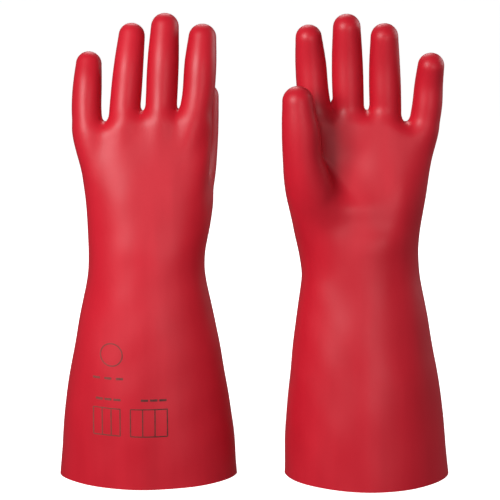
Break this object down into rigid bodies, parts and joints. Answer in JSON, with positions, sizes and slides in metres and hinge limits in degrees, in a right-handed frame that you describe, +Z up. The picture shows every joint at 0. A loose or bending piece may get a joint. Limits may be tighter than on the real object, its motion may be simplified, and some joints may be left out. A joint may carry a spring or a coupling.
{
  "type": "electrical insulating gloves",
  "caption": "Two long rubber gauntlet gloves standing on flared cuffs, hollow inside, with wrists, fingers and thumbs that flex.",
  "frame": {"origin": "centre of the footprint of both gloves, at the level of the cuff rims they stand on", "axes": "+Z up along the fingers; the back of one glove and the palm of the other face -Y; the gloves stand side by side along X"},
  "size_m": [0.3064, 0.1, 0.3599],
  "materials": {
    "insulating_rubber": "satin"
  },
  "bodies": {
    "back_glove_cuff": {"back_glove_cuff": "insulating_rubber"},
    "back_glove_hand": {"back_glove_hand": "insulating_rubber"},
    "back_glove_thumb_base": {"back_glove_thumb_base": "insulating_rubber"},
    "back_glove_thumb_tip": {"back_glove_thumb_tip": "insulating_rubber"},
    "back_glove_index_base": {"back_glove_index_base": "insulating_rubber"},
    "back_glove_index_tip": {"back_glove_index_tip": "insulating_rubber"},
    "back_glove_middle_base": {"back_glove_middle_base": "insulating_rubber"},
    "back_glove_middle_tip": {"back_glove_middle_tip": "insulating_rubber"},
    "back_glove_ring_base": {"back_glove_ring_base": "insulating_rubber"},
    "back_glove_ring_tip": {"back_glove_ring_tip": "insulating_rubber"},
    "back_glove_little_base": {"back_glove_little_base": "insulating_rubber"},
    "back_glove_little_tip": {"back_glove_little_tip": "insulating_rubber"},
    "palm_glove_cuff": {"palm_glove_cuff": "insulating_rubber"},
    "palm_glove_hand": {"palm_glove_hand": "insulating_rubber"},
    "palm_glove_thumb_base": {"palm_glove_thumb_base": "insulating_rubber"},
    "palm_glove_thumb_tip": {"palm_glove_thumb_tip": "insulating_rubber"},
    "palm_glove_index_base": {"palm_glove_index_base": "insulating_rubber"},
    "palm_glove_index_tip": {"palm_glove_index_tip": "insulating_rubber"},
    "palm_glove_middle_base": {"palm_glove_middle_base": "insulating_rubber"},
    "palm_glove_middle_tip": {"palm_glove_middle_tip": "insulating_rubber"},
    "palm_glove_ring_base": {"palm_glove_ring_base": "insulating_rubber"},
    "palm_glove_ring_tip": {"palm_glove_ring_tip": "insulating_rubber"},
    "palm_glove_little_base": {"palm_glove_little_base": "insulating_rubber"},
    "palm_glove_little_tip": {"palm_glove_little_tip": "insulating_rubber"}
  },
  "joints": [
    {"name": "back_glove_wrist", "type": "hinge", "parent": "back_glove_cuff", "child": "back_glove_hand", "pos_m": [-0.0832, 0, 0.178], "axis": [-1, 0, 0], "range_deg": [-30, 30], "stiffness_Nm_per_rad": 4},
    {"name": "back_glove_thumb_swing", "type": "hinge", "parent": "back_glove_hand", "child": "back_glove_thumb_base", "pos_m": [-0.0412, 0.0315, 0.256], "axis": [-1, 0, 0], "range_deg": [0, 35], "stiffness_Nm_per_rad": 0.25},
    {"name": "back_glove_thumb_bend", "type": "hinge", "parent": "back_glove_thumb_base", "child": "back_glove_thumb_tip", "pos_m": [-0.0397, 0.036, 0.277], "axis": [0, -1, 0], "range_deg": [0, 45], "stiffness_Nm_per_rad": 0.12},
    {"name": "back_glove_index_knuckle", "type": "hinge", "parent": "back_glove_hand", "child": "back_glove_index_base", "pos_m": [-0.04253, 0.001, 0.299], "axis": [-1, 0, 0], "range_deg": [-10, 40], "stiffness_Nm_per_rad": 0.25},
    {"name": "back_glove_index_bend", "type": "hinge", "parent": "back_glove_index_base", "child": "back_glove_index_tip", "pos_m": [-0.04071, 0.0035, 0.323], "axis": [-1, 0, 0], "range_deg": [0, 50], "stiffness_Nm_per_rad": 0.12},
    {"name": "back_glove_middle_knuckle", "type": "hinge", "parent": "back_glove_hand", "child": "back_glove_middle_base", "pos_m": [-0.07016, 0.001, 0.3], "axis": [-1, 0, 0], "range_deg": [-10, 40], "stiffness_Nm_per_rad": 0.25},
    {"name": "back_glove_middle_bend", "type": "hinge", "parent": "back_glove_middle_base", "child": "back_glove_middle_tip", "pos_m": [-0.06883, 0.0035, 0.327], "axis": [-1, 0, 0], "range_deg": [0, 50], "stiffness_Nm_per_rad": 0.12},
    {"name": "back_glove_ring_knuckle", "type": "hinge", "parent": "back_glove_hand", "child": "back_glove_ring_base", "pos_m": [-0.09744, 0.001, 0.297], "axis": [-1, 0, 0], "range_deg": [-10, 40], "stiffness_Nm_per_rad": 0.25},
    {"name": "back_glove_ring_bend", "type": "hinge", "parent": "back_glove_ring_base", "child": "back_glove_ring_tip", "pos_m": [-0.09504, 0.0035, 0.322], "axis": [-1, 0, 0], "range_deg": [0, 50], "stiffness_Nm_per_rad": 0.12},
    {"name": "back_glove_little_knuckle", "type": "hinge", "parent": "back_glove_hand", "child": "back_glove_little_base", "pos_m": [-0.12742, 0.001, 0.289], "axis": [-1, 0, 0], "range_deg": [-10, 40], "stiffness_Nm_per_rad": 0.25},
    {"name": "back_glove_little_bend", "type": "hinge", "parent": "back_glove_little_base", "child": "back_glove_little_tip", "pos_m": [-0.12655, 0.0035, 0.308], "axis": [-1, 0, 0], "range_deg": [0, 50], "stiffness_Nm_per_rad": 0.12},
    {"name": "palm_glove_wrist", "type": "hinge", "parent": "palm_glove_cuff", "child": "palm_glove_hand", "pos_m": [0.0817, 0, 0.178], "axis": [1, 0, 0], "range_deg": [-30, 30], "stiffness_Nm_per_rad": 4},
    {"name": "palm_glove_thumb_swing", "type": "hinge", "parent": "palm_glove_hand", "child": "palm_glove_thumb_base", "pos_m": [0.0357, -0.0315, 0.256], "axis": [1, 0, 0], "range_deg": [0, 35], "stiffness_Nm_per_rad": 0.25},
    {"name": "palm_glove_thumb_bend", "type": "hinge", "parent": "palm_glove_thumb_base", "child": "palm_glove_thumb_tip", "pos_m": [0.0337, -0.036, 0.277], "axis": [0, 1, 0], "range_deg": [0, 45], "stiffness_Nm_per_rad": 0.12},
    {"name": "palm_glove_index_knuckle", "type": "hinge", "parent": "palm_glove_hand", "child": "palm_glove_index_base", "pos_m": [0.04474, -0.001, 0.299], "axis": [1, 0, 0], "range_deg": [-10, 40], "stiffness_Nm_per_rad": 0.25},
    {"name": "palm_glove_index_bend", "type": "hinge", "parent": "palm_glove_index_base", "child": "palm_glove_index_tip", "pos_m": [0.04241, -0.0035, 0.323], "axis": [1, 0, 0], "range_deg": [0, 50], "stiffness_Nm_per_rad": 0.12},
    {"name": "palm_glove_middle_knuckle", "type": "hinge", "parent": "palm_glove_hand", "child": "palm_glove_middle_base", "pos_m": [0.07098, -0.001, 0.3], "axis": [1, 0, 0], "range_deg": [-10, 40], "stiffness_Nm_per_rad": 0.25},
    {"name": "palm_glove_middle_bend", "type": "hinge", "parent": "palm_glove_middle_base", "child": "palm_glove_middle_tip", "pos_m": [0.06986, -0.0035, 0.327], "axis": [1, 0, 0], "range_deg": [0, 50], "stiffness_Nm_per_rad": 0.12},
    {"name": "palm_glove_ring_knuckle", "type": "hinge", "parent": "palm_glove_hand", "child": "palm_glove_ring_base", "pos_m": [0.09917, -0.001, 0.297], "axis": [1, 0, 0], "range_deg": [-10, 40], "stiffness_Nm_per_rad": 0.25},
    {"name": "palm_glove_ring_bend", "type": "hinge", "parent": "palm_glove_ring_base", "child": "palm_glove_ring_tip", "pos_m": [0.09807, -0.0035, 0.322], "axis": [1, 0, 0], "range_deg": [0, 50], "stiffness_Nm_per_rad": 0.12},
    {"name": "palm_glove_little_knuckle", "type": "hinge", "parent": "palm_glove_hand", "child": "palm_glove_little_base", "pos_m": [0.13089, -0.001, 0.289], "axis": [1, 0, 0], "range_deg": [-10, 40], "stiffness_Nm_per_rad": 0.25},
    {"name": "palm_glove_little_bend", "type": "hinge", "parent": "palm_glove_little_base", "child": "palm_glove_little_tip", "pos_m": [0.1318, -0.0035, 0.308], "axis": [1, 0, 0], "range_deg": [0, 50], "stiffness_Nm_per_rad": 0.12},
    {"name": "palm_glove_placing", "type": "slide", "parent": "back_glove_cuff", "child": "palm_glove_cuff", "axis": [1, 0, 0], "range_m": [0, 0.15]}
  ]
}
